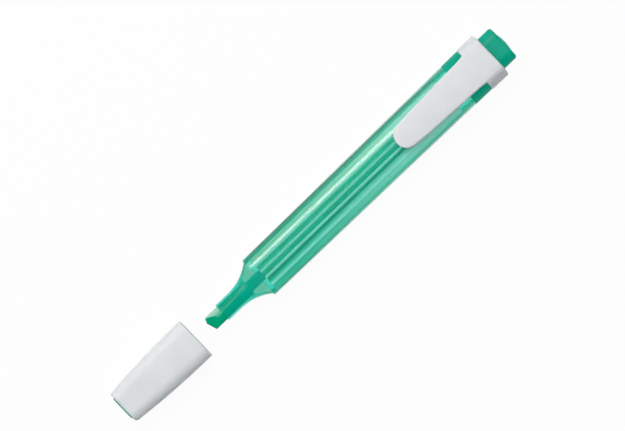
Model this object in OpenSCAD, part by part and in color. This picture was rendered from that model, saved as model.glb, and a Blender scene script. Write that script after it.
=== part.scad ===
// Pocket highlighter with a pull-off cap, lying on its back with the clip up.
// The pen runs along X: cap and nib at the low end, plug and clip at the high end.
// All sizes are in millimetres.

/* [Barrel] */
// Length of the barrel from its shoulder to its rear end
barrel_len = 79.7; // [60:0.1:100]
// Width across the barrel at the shoulder
barrel_front_w = 13.5; // [12.6:0.05:15]
// Width across the barrel at its rear end
barrel_rear_w = 14.75; // [13.6:0.05:17]
// Depth of the body between its flat front and its flat back
body_d = 11.5; // [11:0.1:14]
// Radius of the rounded long edges of the body, from the cap to the shoulder
edge_r = 3.5; // [3:0.1:5]
// Radius of those edges at the rear end of the barrel
edge_rear_r = 4.6; // [3:0.1:4.8]
// Wall of the barrel at the shoulder
barrel_wall = 1.1; // [0.9:0.05:1.4]
// Step at the shoulder, from the barrel in to the foot of the flare
shoulder_step = 0.55; // [0.4:0.05:1]
// Distance from the shoulder to the front end of the ink chamber
chamber_front = 1.6; // [1:0.1:3]
// Number of long ribs that centre the ink core
rib_count = 16; // [6:1:20]
// Turn of the ribs about the pen, in degrees
rib_turn = 3.75; // [0:0.25:30]
// Thickness of a rib
rib_t = 0.6; // [0.4:0.05:1]
// Height of the shortest ribs, on the front and back flats
rib_h = 0.35; // [0.2:0.05:0.6]
// Wall of the reduced neck that the end plug fits over
neck_wall = 0.5; // [0.4:0.05:0.6]

/* [Nose and nib] */
// Distance from the shoulder to the front end of the nose tube
nose_len = 14.5; // [12:0.1:17]
// Length of the flare between the nose tube and the shoulder
flare_len = 8.5; // [6:0.1:10]
// Step where the flare starts on the nose tube
flare_step = 0.1; // [0.05:0.01:0.2]
// Wall of the nose tube around the nib
nose_wall = 0.5; // [0.35:0.01:0.6]
// Wall of the hollow flare
flare_wall = 1; // [0.8:0.05:1.3]
// Diameter of the felt nib
nib_d = 4.7; // [4.2:0.1:5]
// How far the nib stands out of the nose
nib_out = 5.3; // [4:0.1:6]
// Slant of the writing edge, in degrees
nib_slant = 18; // [0:1:30]
// Slant of the short edge on the far side of the nib's point, in degrees
nib_back_slant = 24; // [0:1:40]
// How far the nib's point lies off the middle of the pen
nib_lead = 0.8; // [0.2:0.1:1.6]
// Half angle of the chisel wedge, in degrees
nib_wedge = 33; // [20:1:45]
// Thickness of the writing edge
nib_edge_t = 0.5; // [0.2:0.05:1]
// Diameter of the nib's thin tail
nib_tail_d = 3.3; // [2.4:0.1:3.8]
// Length of the tail that is pushed into the ink core
nib_tail_in = 5; // [2:0.1:10]

/* [Ink core] */
// Gap between the front end of the chamber and the core
core_front_gap = 0.2; // [0.1:0.05:0.8]
// Distance from the rear end of the barrel to the rear end of the core
core_rear_gap = 4.4; // [2:0.1:10]
// Thickness of the film sleeve around the core
wrap_t = 0.15; // [0.1:0.01:0.3]

/* [End plug] */
// Length of the green band between the barrel and the collar
band_len = 6.3; // [4:0.1:9]
// Floor of the plug behind the barrel's neck
plug_floor = 1.2; // [0.8:0.1:2]
// Width of the stem that carries the collar
stem_w = 11.4; // [9.5:0.1:12]
// Depth of that stem
stem_d = 8.3; // [7.5:0.1:9]
// Radius of the long edges of the stem
stem_edge_r = 3; // [2:0.1:3.6]
// Length of the end block behind the collar
block_len = 5.1; // [3:0.1:8]
// Rounding of the rear edge of the end block
block_round = 0.7; // [0.4:0.1:1.5]
// Width of the shallow dome on the end block
dome_w = 6.8; // [3:0.1:8]
// Height of that dome
dome_h = 0.5; // [0.2:0.05:0.8]
// Diameter of the post that keeps the ink core forward
post_d = 4; // [2.5:0.1:6]

/* [Clip] */
// Length of the collar along the pen
collar_len = 6.4; // [4:0.1:9]
// How far the collar stands proud of the band on each side
collar_proud = 0.2; // [0.1:0.05:0.6]
// Rounding of the collar's front and rear edges
collar_round = 0.5; // [0.3:0.05:0.8]
// Thickness of the pad's cheeks beside the clip's root
pad_cheek = 0.3; // [0.2:0.05:0.6]
// Length of the clip in front of the collar
clip_len = 30.8; // [20:0.1:45]
// Width of the clip at the collar
clip_root_w = 10.5; // [9.9:0.1:11]
// Width of the clip where its root begins to widen
clip_shank_w = 9.8; // [8:0.1:9.9]
// Width of the clip behind its round tip
clip_tip_w = 7.7; // [6:0.1:8]
// How soon the clip widens behind its tip, 1 for an even taper
clip_swell = 0.75; // [0.6:0.05:1]
// Length of the widening root
clip_root_len = 5; // [3:0.1:8]
// Thickness of the clip
clip_t = 1.6; // [1.2:0.05:2]
// Radius of the crown across the top of the clip
clip_crown_r = 45; // [20:1:60]
// Gap between the barrel and the underside of the clip at its root
clip_gap = 1.2; // [1:0.05:2]
// Gap between the barrel and the gripping ridge near the clip's tip
grip_gap = 0.3; // [0.2:0.05:0.6]
// Downward slope of the clip towards its tip, in degrees
clip_slope = 1; // [0:0.1:1.2]

/* [Cap] */
// Length of the cap from its mouth to its closed end
cap_len = 28.8; // [27:0.1:34]
// Distance from the shoulder to the mouth of the pulled-off cap
cap_off = 24.95; // [21:0.05:40]
// Width of the cap at its closed end
cap_end_w = 10.8; // [10:0.1:12]
// Depth of the cap at its closed end
cap_end_d = 9.4; // [9.2:0.1:11]
// How late the cap draws in towards its closed end
cap_taper = 2.2; // [1.5:0.1:3]
// Wall of the cap
cap_wall = 0.8; // [0.6:0.05:1]
// Length over which that wall thins towards the mouth
cap_lip_len = 2; // [1:0.1:4]
// Thickness of the cap's closed end
cap_end_wall = 1.8; // [1.6:0.1:2.5]
// Rounding of the edge of the closed end
cap_round = 0.7; // [0.4:0.05:1]
// Gap between the cap's mouth and the foot of the flare when the cap is on
cap_seat_gap = 0.2; // [0.1:0.05:0.3]
// Width of the green plate in the closed end
insert_w = 7.8; // [5:0.1:8.5]
// Depth of that plate across the cap
insert_d = 5.6; // [4.5:0.1:6.5]
// Radius of the plate's long edges
insert_edge_r = 2.2; // [1:0.1:2.2]
// How deep the plate is set into the closed end
insert_sink = 0.7; // [0.4:0.05:0.9]
// How far the plate stands out of the closed end
insert_proud = 0.4; // [0.2:0.05:0.8]
// Wall of the inner seal
seal_wall = 0.6; // [0.5:0.05:0.8]
// Gap between the nose tube and the bore of the seal
seal_gap = 0.3; // [0.2:0.05:0.4]
// Length of the seal's close-fitting lip
seal_lip_len = 1.5; // [1:0.1:3]
// Gap between the flare and the seal when the cap is on
seal_front_gap = 1.2; // [0.6:0.1:2]
// Depth of the socket that the seal stands in
seal_socket = 0.4; // [0.2:0.05:0.6]

/* [Hidden] */

// Clearances between pieces that fit together
nib_clear = 0.03;
core_clear = 0.05;
plug_clear = 0.05;
collar_clear = 0.05;
insert_clear = 0.05;
seal_clear = 0.05;
lip_clear = 0.08;
clip_clear = 0.12;

// Cutters run this far past the faces that they cut
over = 1;
// Steps in each rounded corner of a section, and in each small rounding
corner_steps = 10;
round_steps = 4;
$fn = 64;

// Colours of the mouldings
ink_green = [0.02, 0.62, 0.52];
barrel_green = [0.27, 0.67, 0.56, 0.75];
fibre_green = [0.16, 0.64, 0.53];
film_grey = [0.80, 0.92, 0.88];
off_white = [0.87, 0.88, 0.89];

// Places along the pen, counted from the shoulder
nose_front = -nose_len;
nib_tip = nose_front - nib_out;
flare_front = -flare_len;
core_front = chamber_front + core_front_gap;
core_rear = barrel_len - core_rear_gap;
collar_front = barrel_len + band_len;
collar_rear = collar_front + collar_len;
block_rear = collar_rear + block_len;
pen_rear = block_rear + dome_h;
cap_mouth = -cap_off;
cap_end = cap_mouth - cap_len;
cap_front = cap_end - insert_proud;

// The origin lies under the middle of the pen and its pulled-off cap
x_mid = (cap_front + pen_rear) / 2;

// Barrel: its two half sizes, its draft and its chamber
body_hd = body_d / 2;
draft = (barrel_rear_w - barrel_front_w) / 2 / barrel_len;
chamber_hw = barrel_front_w / 2 - barrel_wall;
chamber_hd = body_hd - barrel_wall;
chamber_r = edge_r - barrel_wall;
neck_len = band_len - plug_floor;
neck_hw = chamber_hw + neck_wall;
neck_hd = chamber_hd + neck_wall;
neck_r = chamber_r + neck_wall;
function barrel_hw(x) = barrel_front_w / 2 + draft * x;
function barrel_edge_r(x) = edge_r + (edge_rear_r - edge_r) * x / barrel_len;

// Nose: the flare widens from the tube to a base that the cap's wall slides round
nose_d = nib_d + 2 * nib_clear + 2 * nose_wall;
flare_start_r = nose_d / 2 + flare_step;
flare_power = 2;
flare_steps = 10;
// Corner of the flare's first section, a little under its half size, so that it is all but round
flare_start_corner = nose_d / 2;
flare_hw = barrel_front_w / 2 - shoulder_step;
flare_hd = body_hd - shoulder_step;
flare_r = edge_r - shoulder_step;
function flare_at(u, base) = flare_start_r + (base - flare_start_r) * pow(u, flare_power);
function flare_corner(u) = flare_start_corner + (flare_r - flare_start_corner) * u;
function flare_stations(u0, wall) = [
    for (i = [0:flare_steps])
        let (u = u0 + (1 - u0) * i / flare_steps)
        [flare_front + flare_len * u, flare_at(u, flare_hw) - wall, flare_at(u, flare_hd) - wall,
         flare_corner(u) * (flare_at(u, flare_hd) - wall) / flare_at(u, flare_hd)]
];
// Share of the flare, from its front, that is solid around the nib
flare_solid = 0.55;
nib_seat_rear = flare_front + flare_len * flare_solid;

// Ink core and film, sized by the ribs on the chamber's flats
rib_ring_r = chamber_hd - rib_h;
wrap_r = rib_ring_r - core_clear;
core_r = wrap_r - wrap_t - core_clear;
tail_rear = core_front + nib_tail_in;

// Collar, proud of the band on both sides, flush at the back
collar_hw = barrel_hw(collar_front) + collar_proud;

// Clip: the rounded root lies in a groove in the collar's pad
clip_root_r = clip_t / 2;
clip_root_bead = 0.06;
clip_arm_t = clip_t - 2 * clip_root_bead;
clip_axis_x = collar_front + clip_root_r + 2 * clip_clear;
clip_axis_z = body_hd + clip_gap + clip_root_r;
pad_top = clip_axis_z + clip_root_r;
slot_hw = clip_root_w / 2 + clip_clear;
pad_hw = slot_hw + pad_cheek;
arm_reach = clip_len + clip_axis_x - collar_front;
grip_x = clip_tip_w / 2 - arm_reach;
grip_r = clip_axis_z + grip_x * sin(clip_slope) - body_hd - grip_gap;

// Cap: half sizes at a distance from the mouth, drawn in late towards the closed end
cap_steps = 9;
function cap_loss(d) = pow(d / cap_len, cap_taper);
function cap_hw(d) = barrel_front_w / 2 - (barrel_front_w - cap_end_w) / 2 * cap_loss(d);
function cap_hd(d) = body_hd - (body_d - cap_end_d) / 2 * cap_loss(d);
function cap_edge_r(d) = edge_r * cap_hd(d) / body_hd;
cap_lip = shoulder_step - cap_seat_gap;
seal_bore_r = nose_d / 2 + seal_gap;
seal_lip_r = nose_d / 2 + lip_clear;
seal_r = seal_bore_r + seal_wall;
seal_front = flare_len + seal_front_gap;
seal_rear = cap_len - cap_end_wall + seal_socket;

// Outline of a section, a rectangle with round corners, seen from the plug end
function section(hw, hd, r) = [
    for (q = [0:3])
        for (i = [0:corner_steps])
            let (a = 90 * (q + i / corner_steps),
                 side_y = (q == 0 || q == 3) ? 1 : -1,
                 side_z = q < 2 ? 1 : -1)
            [side_y * (hw - r) + r * cos(a), side_z * (hd - r) + r * sin(a)]
];

// A solid through sections along X, each given as [x, half width, half depth, corner radius]
module loft(stations) {
    rings = [for (s = stations) [for (p = section(s[1], s[2], s[3])) [s[0], p[0], p[1]]]];
    n = len(rings[0]);
    last = (len(rings) - 1) * n;
    sides = [
        for (i = [0:len(rings) - 2])
            for (j = [0:n - 1])
                let (a = i * n + j, b = i * n + (j + 1) % n)
                each [[a, a + n, b + n], [a, b + n, b]]
    ];
    ends = [[for (j = [0:n - 1]) j], [for (j = [n - 1:-1:0]) last + j]];
    polyhedron([for (ring = rings) each ring], concat(sides, ends));
}

// A straight bar of one section from x0 to x1
module bar(x0, x1, hw, hd, r) {
    translate([x0, 0, 0])
        rotate([90, 0, 90])
            linear_extrude(x1 - x0)
                polygon(section(hw, hd, r));
}

// A round bar along X
module rod(x0, x1, r) {
    translate([x0, 0, 0])
        rotate([0, 90, 0])
            cylinder(h = x1 - x0, r = r);
}

// Stations of an end that is rounded by r, from the full section to the end at x1
function rounded_end(x1, hw, hd, edge, r) = [
    for (i = [0:round_steps])
        let (a = 90 * i / round_steps, cut = r * (1 - cos(a)))
        [x1 - r + r * sin(a), hw - cut, hd - cut, edge - cut]
];

// The same end, turned to face the low end of the pen
function rounded_start(x0, hw, hd, edge, r) = [
    for (i = [round_steps:-1:0])
        let (a = 90 * i / round_steps, cut = r * (1 - cos(a)))
        [x0 + r - r * sin(a), hw - cut, hd - cut, edge - cut]
];

// Puts a piece drawn from the shoulder into the part's frame
module place() {
    translate([-x_mid, 0, body_hd])
        children();
}

// The chamber's profile, with the ribs left standing
module ribbed_profile() {
    difference() {
        polygon(section(chamber_hw, chamber_hd, chamber_r));
        for (i = [0:rib_count - 1])
            rotate(rib_turn + 360 * i / rib_count)
                translate([rib_ring_r, -rib_t / 2])
                    square([chamber_hw, rib_t]);
    }
}

// Barrel: nose tube, flare, shoulder, drafted body and reduced neck in one moulding
module barrel() {
    color(barrel_green)
        place()
            difference() {
                union() {
                    rod(nose_front, flare_front + over, nose_d / 2);
                    loft(concat(flare_stations(0, 0), [[over, flare_hw, flare_hd, flare_r]]));
                    loft([for (x = [0, barrel_len]) [x, barrel_hw(x), body_hd, barrel_edge_r(x)]]);
                    bar(barrel_len - over, barrel_len + neck_len, neck_hw, neck_hd, neck_r);
                }
                rod(nose_front - over, nib_seat_rear + over / 2, nib_d / 2 + nib_clear);
                loft(concat(flare_stations(flare_solid, flare_wall),
                            [[chamber_front + over, flare_hw - flare_wall, flare_hd - flare_wall,
                              flare_r * (flare_hd - flare_wall) / flare_hd]]));
                translate([chamber_front, 0, 0])
                    rotate([90, 0, 90])
                        linear_extrude(core_rear - chamber_front)
                            ribbed_profile();
                bar(core_rear, barrel_len + neck_len + over, chamber_hw, chamber_hd, chamber_r);
            }
}

// Nib: a felt rod with a slanted chisel end and a thin tail in the ink core
module nib() {
    color(ink_green)
        place()
            union() {
                difference() {
                    rod(nib_tip, nib_seat_rear, nib_d / 2);
                    translate([nib_tip, nib_lead, 0])
                        nib_cuts();
                }
                rod(nib_seat_rear - over, tail_rear, nib_tail_d / 2);
            }
}

// What is cut from the felt at its point: the two slopes of the wedge, the writing edge
// and the short edge on the far side of the point
module nib_cuts() {
    reach = 2 * nib_d;
    slope_len = nib_d / tan(nib_wedge);
    near = nib_edge_t / 2;
    far = near + nib_d;
    for (side = [-1, 1])
        rotate([0, 0, nib_slant])
            rotate([90, 0, 0])
                translate([0, 0, -reach])
                    linear_extrude(2 * reach)
                        polygon([[-slope_len, side * near], [0, side * near],
                                 [slope_len, side * far], [-slope_len, side * far]]);
    rotate([0, 0, nib_slant])
        translate([-reach, -reach, -reach])
            cube([reach, 2 * reach, 2 * reach]);
    rotate([0, 0, -nib_back_slant])
        translate([-reach, 0, -reach])
            cube([reach, reach, 2 * reach]);
}

// Ink core: a round bundle of fibre with a socket for the nib's tail
module ink_reservoir() {
    color(fibre_green)
        place()
            difference() {
                rod(core_front, core_rear, core_r);
                rod(core_front - over, tail_rear, nib_tail_d / 2 + core_clear);
            }
}

// Film sleeve around the ink core
module reservoir_wrap() {
    color(film_grey)
        place()
            difference() {
                rod(core_front, core_rear, wrap_r);
                rod(core_front - over, core_rear + over, wrap_r - wrap_t);
            }
}

// End plug: a skirt over the barrel's neck, a stem for the collar and a domed end block
module end_plug() {
    dome_hw = dome_w / 2;
    dome_foot = dome_hw + plug_clear;
    dome_r = (dome_hw * dome_hw + dome_h * dome_h) / 2 / dome_h;
    dome_span = asin(dome_foot / dome_r);
    dome_arc = [for (i = [round_steps:-1:0])
        let (a = dome_span * i / round_steps)
        [dome_r * sin(a), dome_r * (cos(a) - 1)]];
    color(ink_green)
        place()
            union() {
                difference() {
                    loft([for (x = [barrel_len, collar_front])
                        [x, barrel_hw(x), body_hd, barrel_edge_r(x)]]);
                    bar(barrel_len - over, barrel_len + neck_len + plug_clear,
                        neck_hw + plug_clear, neck_hd + plug_clear, neck_r + plug_clear);
                }
                loft(concat([[collar_front - plug_floor / 2, stem_w / 2, stem_d / 2, stem_edge_r]],
                            rounded_end(block_rear, stem_w / 2, stem_d / 2, stem_edge_r, block_round)));
                translate([pen_rear, 0, 0])
                    rotate([0, 90, 0])
                        rotate_extrude()
                            polygon(concat([[0, -block_len / 2], [dome_foot, -block_len / 2]],
                                           dome_arc));
                rod(core_rear + core_front_gap, collar_front - plug_floor / 2, post_d / 2);
            }
}

// Collar: a ring round the plug's stem whose sides rise to a flat pad that carries the clip
module clip_collar() {
    color(off_white)
        place()
            difference() {
                intersection() {
                    translate([collar_front, 0, 0])
                        rotate([90, 0, 90])
                            linear_extrude(collar_len)
                                collar_section();
                    translate([0, 0, -body_d])
                        linear_extrude(2 * body_d)
                            polygon(rounded_plan(collar_front, collar_rear, collar_hw, collar_round));
                    translate([0, 2 * collar_hw, 0])
                        rotate([90, 0, 0])
                            linear_extrude(4 * collar_hw)
                                collar_side();
                }
                bar(collar_front - over, collar_rear + over,
                    stem_w / 2 + collar_clear, stem_d / 2 + collar_clear, stem_edge_r + collar_clear);
                translate([clip_axis_x, 0, clip_axis_z])
                    rotate([90, 0, 0])
                        cylinder(h = 2 * slot_hw, r = clip_root_r + clip_clear, center = true);
                translate([collar_front - over, -slot_hw, clip_axis_z - clip_root_r - clip_clear])
                    cube([clip_axis_x - collar_front + over, 2 * slot_hw, clip_t + over]);
            }
}

// The collar seen from the plug end: the body's back, then sides that bow in to the flat pad
module collar_section() {
    lower = [for (p = section(collar_hw, body_hd, barrel_edge_r(collar_front))) if (p[1] <= 0) p];
    side = [for (i = [0:corner_steps])
        let (u = i / corner_steps)
        [pad_hw + (collar_hw - pad_hw) * (1 - u * u), pad_top * u]];
    far_side = [for (i = [corner_steps:-1:0]) [-side[i][0], side[i][1]]];
    polygon(concat(side, far_side, lower));
}

// The collar from the side, with its front and rear edges rounded
module collar_side() {
    translate([0, (pad_top - body_hd) / 2])
        polygon(rounded_plan(collar_front, collar_rear, (pad_top + body_hd) / 2, collar_round));
}

// A rectangle from x0 to x1 with small rounded corners
function rounded_plan(x0, x1, half, r) = [
    for (q = [0:3])
        for (i = [0:round_steps])
            let (a = 90 * (q + i / round_steps),
                 at_x = (q == 0 || q == 3) ? x1 - r : x0 + r,
                 at_y = q < 2 ? half - r : r - half)
            [at_x + r * cos(a), at_y + r * sin(a)]
];

// Plan of the clip from its rounded tip to its root, with the root's axis at 0
module clip_plan() {
    tip_r = clip_tip_w / 2;
    tip_x = tip_r - arm_reach;
    shank_hw = clip_shank_w / 2;
    root_gain = clip_root_w / 2 - shank_hw;
    root_side = [for (i = [0:round_steps])
        let (u = i / round_steps)
        [-clip_root_len * u, shank_hw + root_gain * (1 - u) * (1 - u)]];
    shank_side = [for (i = [corner_steps - 1:-1:1])
        let (u = i / corner_steps)
        [tip_x + (-clip_root_len - tip_x) * u, tip_r + (shank_hw - tip_r) * pow(u, clip_swell)]];
    tip_arc = [for (a = [90:9:180]) [tip_x + tip_r * cos(a), tip_r * sin(a)]];
    side = concat(root_side, shank_side, tip_arc);
    far_side = [for (i = [len(side) - 2:-1:0]) [side[i][0], -side[i][1]]];
    polygon(concat(side, far_side));
}

// Clip: a crowned paddle with a rounded root and a gripping ridge under its tip
module pocket_clip() {
    color(off_white)
        place()
            translate([clip_axis_x, 0, clip_axis_z]) {
                rotate([0, -clip_slope, 0])
                    union() {
                        intersection() {
                            translate([0, 0, -clip_arm_t / 2])
                                linear_extrude(clip_arm_t)
                                    clip_plan();
                            translate([-arm_reach - over, 0, clip_arm_t / 2 - clip_crown_r])
                                rotate([0, 90, 0])
                                    cylinder(h = arm_reach + 2 * over, r = clip_crown_r, $fn = 128);
                        }
                        rotate([90, 0, 0])
                            cylinder(h = clip_root_w, r = clip_root_r, center = true);
                    }
                translate([grip_x, 0, grip_x * sin(clip_slope)])
                    difference() {
                        rotate([90, 0, 0])
                            cylinder(h = clip_tip_w / 2, r = grip_r, center = true);
                        translate([-2 * grip_r, -clip_tip_w, 0])
                            cube([4 * grip_r, 2 * clip_tip_w, 2 * grip_r]);
                    }
            }
}

// Cap: a shell that draws in towards its closed end, hollow for the seal, with a thin lip
module cap_shell() {
    inner_len = cap_len - cap_end_wall;
    closed_end = rounded_start(-cap_len, cap_hw(cap_len), cap_hd(cap_len), cap_edge_r(cap_len), cap_round);
    outside = [for (i = [cap_steps - 1:-1:0])
        let (d = (cap_len - cap_round) * i / cap_steps)
        [-d, cap_hw(d), cap_hd(d), cap_edge_r(d)]];
    inside = [for (i = [cap_steps:-1:0])
        let (d = cap_lip_len + (inner_len - cap_lip_len) * i / cap_steps)
        [-d, cap_hw(d) - cap_wall, cap_hd(d) - cap_wall, cap_edge_r(d) - cap_wall]];
    mouth = [for (x = [0, over])
        [x, cap_hw(0) - cap_lip, cap_hd(0) - cap_lip, cap_edge_r(0) - cap_lip]];
    color(off_white)
        place()
            translate([cap_mouth, 0, 0])
                difference() {
                    loft(concat(closed_end, outside));
                    loft(concat(inside, mouth));
                    rod(-inner_len - seal_socket, -inner_len + over, seal_r + seal_clear);
                    bar(-cap_len - over, -cap_len + insert_sink, insert_w / 2 + insert_clear,
                        insert_d / 2 + insert_clear, insert_edge_r + insert_clear);
                }
}

// Inner seal: a blind sleeve that closes round the nose tube at its lip
module cap_inner_seal() {
    color(film_grey)
        place()
            translate([cap_mouth, 0, 0])
                difference() {
                    rod(-seal_rear, -seal_front, seal_r);
                    rod(-seal_rear + seal_wall, -seal_front - seal_lip_len, seal_bore_r);
                    rod(-seal_front - seal_lip_len - over, -seal_front + over, seal_lip_r);
                }
}

// Green plate in the closed end of the cap
module cap_end_insert() {
    color(ink_green)
        place()
            bar(cap_front, cap_end + insert_sink, insert_w / 2, insert_d / 2, insert_edge_r);
}

barrel();
nib();
ink_reservoir();
reservoir_wrap();
end_plug();
clip_collar();
pocket_clip();
cap_shell();
cap_inner_seal();
cap_end_insert();
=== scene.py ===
# %% [markdown]
# # A capped pocket highlighter
# The imported CAD model already holds the pen: ten solids on three bodies, with the cap lying off
# the nib as in the photograph. This lesson dresses it. Each plastic skin is drawn again with the
# soft edges that a mould leaves, and every surface gets a finish made of shader nodes.
#
# The first cell loads the solids as a fixed frame.

# %% Load the solids
import math

import bmesh
import bpy
from mathutils import Matrix, Vector


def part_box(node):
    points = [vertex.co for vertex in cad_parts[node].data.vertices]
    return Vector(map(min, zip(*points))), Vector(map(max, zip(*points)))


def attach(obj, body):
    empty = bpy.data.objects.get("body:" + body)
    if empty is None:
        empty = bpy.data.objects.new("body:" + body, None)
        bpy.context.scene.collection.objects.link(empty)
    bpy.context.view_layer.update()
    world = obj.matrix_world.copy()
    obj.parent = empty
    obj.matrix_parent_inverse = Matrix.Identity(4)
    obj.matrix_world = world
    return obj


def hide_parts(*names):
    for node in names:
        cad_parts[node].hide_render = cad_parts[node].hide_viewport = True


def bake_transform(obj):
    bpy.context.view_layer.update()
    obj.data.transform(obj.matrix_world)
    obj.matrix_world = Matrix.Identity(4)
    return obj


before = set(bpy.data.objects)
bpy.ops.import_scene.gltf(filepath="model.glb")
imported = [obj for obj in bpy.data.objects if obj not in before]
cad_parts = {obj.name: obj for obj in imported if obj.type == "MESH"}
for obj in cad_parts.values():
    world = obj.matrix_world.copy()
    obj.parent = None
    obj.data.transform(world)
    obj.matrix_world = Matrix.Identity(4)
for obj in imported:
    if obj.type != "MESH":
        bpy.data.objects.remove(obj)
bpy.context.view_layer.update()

MM = 0.001
print("solids:", ", ".join(sorted(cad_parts)))

# %% [markdown]
# ## Where things are
# The pen lies along X with its nib towards -X, and its flat back rests on z = 0. The places of
# the main steps are read from the boxes of the solids, so the skins land on them with no fitting
# by eye. The few sizes that a box cannot tell, such as wall thicknesses, are named beside the
# piece they belong to.

# %% Measure the frame
barrel_low, barrel_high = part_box("barrel")
plug_low, plug_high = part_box("end_plug")
collar_low, collar_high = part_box("clip_collar")
clip_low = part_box("pocket_clip")[0]
cap_low, cap_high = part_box("cap_shell")
insert_low, insert_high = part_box("cap_end_insert")
nib_low, nib_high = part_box("nib")
core_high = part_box("ink_reservoir")[1]

axis_z = (barrel_low.z + barrel_high.z) / 2
body_hd = barrel_high.z - axis_z
body_corner = 3.5 * MM
rear_corner = 5.2 * MM
nose_len = 14.5 * MM
neck_len = 5.1 * MM
shoulder_x = barrel_low.x + nose_len
barrel_rear_x = barrel_high.x - neck_len
print(f"pen axis {axis_z / MM:.2f} mm above the table, shoulder at x = {shoulder_x / MM:.2f} mm")

# %% [markdown]
# ## Rings and skins
# Almost every piece of this pen is a tube of changing section: round at the nose, a rectangle
# with round corners along the body. Such a form can be modelled by hand with a circle that is
# extruded and scaled again and again. A script does the same with a list of rings, each ring at
# one place along the axis, and bridges each ring to the next.
#
# All rings have the same number of points, set out by angle round the pen's axis. That lets a
# round ring meet a flat-sided one with no twist. An edge that turns by more than about a third of
# a right angle stays crisp, and everything softer is shaded smooth.

# %% Helpers for rings
RING_POINTS = 192
LEAST_CORNER = 0.1 * MM


def reach(angle, half_w, half_d, corner):
    """How far a round-cornered rectangle reaches from its middle in one direction."""
    across, up = abs(math.cos(angle)), abs(math.sin(angle))
    flat_w, flat_d = half_w - corner, half_d - corner
    if up * half_w <= across * flat_d:
        return half_w / across
    if across * half_d <= up * flat_w:
        return half_d / up
    to_corner = across * flat_w + up * flat_d
    return to_corner + math.sqrt(to_corner ** 2 - flat_w ** 2 - flat_d ** 2 + corner ** 2)


def ring(x, half_w, half_d, corner):
    """One closed section of the pen, square to its axis."""
    points = []
    for step in range(RING_POINTS):
        angle = 2 * math.pi * step / RING_POINTS
        r = reach(angle, half_w, half_d, corner)
        points.append(Vector((x, r * math.cos(angle), axis_z + r * math.sin(angle))))
    return points


def round_ring(x, radius):
    """A circular section."""
    return ring(x, radius, radius, radius)


def soft_edge(x, half_w, half_d, corner, edge, into, steps=4):
    """Rings round a moulded edge, from the end face at x to the side wall.

    `into` is +1 or -1: the way along X into the piece.
    """
    rings = []
    for step in range(steps + 1):
        turn = math.pi / 2 * step / steps
        inset = edge * (1 - math.sin(turn))
        rings.append(ring(x + into * edge * (1 - math.cos(turn)),
                          half_w - inset, half_d - inset, max(corner - inset, LEAST_CORNER)))
    return rings


print(f"a ring has {RING_POINTS} points")

# %% Helpers for skins
CRISP_ANGLE = math.radians(32)


def mark_crisp_edges(bm):
    """Smooth shading everywhere except across edges that really turn."""
    for face in bm.faces:
        face.smooth = True
    for edge in bm.edges:
        edge.smooth = edge.calc_face_angle(0) < CRISP_ANGLE


def add_piece(name, bm):
    """Puts a finished mesh in the scene."""
    bmesh.ops.recalc_face_normals(bm, faces=bm.faces)
    mark_crisp_edges(bm)
    mesh = bpy.data.meshes.new(name)
    bm.to_mesh(mesh)
    bm.free()
    piece = bpy.data.objects.new(name, mesh)
    bpy.context.collection.objects.link(piece)
    return piece


def bridge(bm, first, second):
    """Four-sided faces between two rings of points."""
    count = len(first)
    for j in range(count):
        k = (j + 1) % count
        bm.faces.new((first[j], first[k], second[k], second[j]))


def skin(name, rings, hollow=False):
    """A closed mesh over rings. A hollow one goes out along the outside and back inside."""
    bm = bmesh.new()
    loops = [[bm.verts.new(point) for point in points] for points in rings]
    for first, second in zip(loops, loops[1:]):
        bridge(bm, first, second)
    if hollow:
        bridge(bm, loops[-1], loops[0])
    else:
        for loop in (loops[0], loops[-1]):
            hub = bm.verts.new(sum((v.co for v in loop), Vector()) / len(loop))
            for j, corner in enumerate(loop):
                bm.faces.new((corner, loop[(j + 1) % len(loop)], hub))
    return add_piece(name, bm)


print(f"edges that turn by more than {math.degrees(CRISP_ANGLE):.0f} degrees stay crisp")

# %% [markdown]
# ## The barrel
# On the real pen this is one clear green moulding: a narrow nose tube that grips the nib, a flare
# that swells from round to flat-sided, a square shoulder where the cap stops, and a long body
# with a neck behind for the end plug. Inside, sixteen thin ribs hold the ink core off the wall,
# and they are what draws the fine lines along the body.
#
# A shell like this could be a solid with a Solidify modifier, but the thick nose leaves it no
# even wall. So the outside and the inside are both drawn, as one hollow skin, and light passes
# both faces as it does in the real plastic.

# %% Outside of the barrel
nose_r = 2.88 * MM
nose_edge = 0.3 * MM
flare_start_x = shoulder_x - 8.5 * MM
flare_step = 0.1 * MM
flare_start_r = nose_r + flare_step
flare_hw, flare_hd, flare_corner = 6.2 * MM, 5.2 * MM, 2.95 * MM
flare_power = 2
flare_sections = 24
front_hw = cap_high.y
rear_gain, rear_gain_len = 0.625 * MM, 79.7 * MM
draft = rear_gain / rear_gain_len
barrel_edge = 0.25 * MM
rear_edge = 0.12 * MM
neck_hw, neck_hd, neck_corner = 6.15 * MM, 5.15 * MM, 2.9 * MM


def body_size(x):
    """Half width, half depth and corner radius of the body: wider and rounder towards the rear."""
    share = (x - shoulder_x) / (barrel_rear_x - shoulder_x)
    half_w = front_hw + draft * (x - shoulder_x)
    return half_w, body_hd, body_corner + (rear_corner - body_corner) * share


def flare_ring(share, wall=0.0):
    """A section of the flare, from the nose tube (0) to the shoulder (1), or of its inside."""
    swell = share ** flare_power
    half_w = flare_start_r + (flare_hw - flare_start_r) * swell - wall
    half_d = flare_start_r + (flare_hd - flare_start_r) * swell - wall
    corner = min(half_w, half_d) + (flare_corner - flare_hd) * swell
    return ring(flare_start_x + (shoulder_x - flare_start_x) * share, half_w, half_d, corner)


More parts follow.
